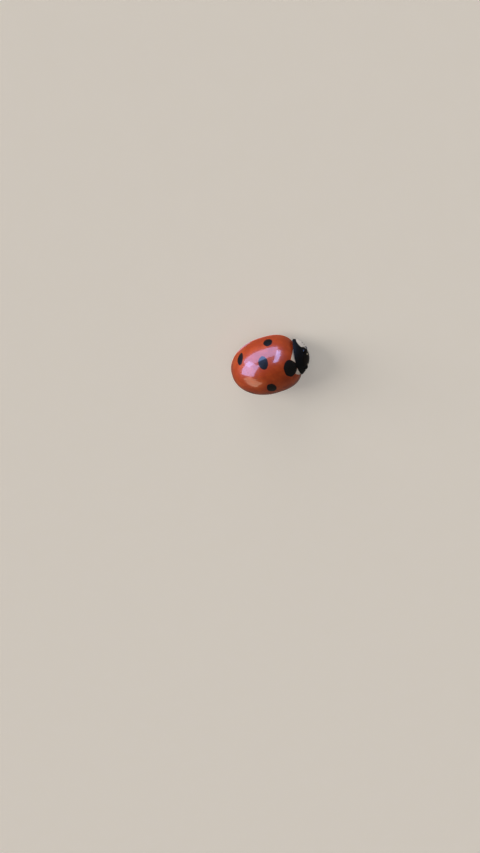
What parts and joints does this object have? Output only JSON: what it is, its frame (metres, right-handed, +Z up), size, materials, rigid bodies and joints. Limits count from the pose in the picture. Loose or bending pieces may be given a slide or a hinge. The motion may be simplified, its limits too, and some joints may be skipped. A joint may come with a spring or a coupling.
{
  "type": "ladybird",
  "caption": "Life-size ladybird at rest with its wing cases closed, its legs folded under the body and its head turned a little to its right.",
  "frame": {"origin": "middle of the footprint, on the surface that the feet stand on", "axes": "+Z up, -Y the way the beetle faces, +X its left side"},
  "size_m": [0.0052, 0.007, 0.0038],
  "materials": {
    "wing_case": "glossy orange-red shell with seven black spots",
    "neck_shield": "glossy black shell with a cream patch at each front corner",
    "body": "satin black",
    "head": "satin black with two pale spots",
    "eye": "glossy black",
    "leg": "satin black",
    "foot_and_feeler": "dull dark brown"
  },
  "bodies": {
    "root": {"wing_case_left": "wing_case", "wing_case_right": "wing_case", "scutellum": "neck_shield", "leg_front_coxa_left": "leg", "leg_front_coxa_right": "leg", "leg_front_femur_left": "leg", "leg_front_femur_right": "leg", "leg_front_tibia_left": "leg", "leg_front_tibia_right": "leg", "leg_front_tarsus_left": "foot_and_feeler", "leg_front_tarsus_right": "foot_and_feeler", "leg_middle_coxa_left": "leg", "leg_middle_coxa_right": "leg", "leg_middle_femur_left": "leg", "leg_middle_femur_right": "leg", "leg_middle_tibia_left": "leg", "leg_middle_tibia_right": "leg", "leg_middle_tarsus_left": "foot_and_feeler", "leg_middle_tarsus_right": "foot_and_feeler", "leg_hind_coxa_left": "leg", "leg_hind_coxa_right": "leg", "leg_hind_femur_left": "leg", "leg_hind_femur_right": "leg", "leg_hind_tibia_left": "leg", "leg_hind_tibia_right": "leg", "leg_hind_tarsus_left": "foot_and_feeler", "leg_hind_tarsus_right": "foot_and_feeler", "abdomen": "body", "thorax": "body", "head": "head", "labrum": "head", "eye_left": "eye", "eye_right": "eye", "antenna_left": "foot_and_feeler", "antenna_right": "foot_and_feeler", "jaw_left": "foot_and_feeler", "jaw_right": "foot_and_feeler", "palp_left": "foot_and_feeler", "palp_right": "foot_and_feeler", "labium": "foot_and_feeler", "pronotum": "neck_shield", "prosternum": "body"}
  },
  "joints": []
}
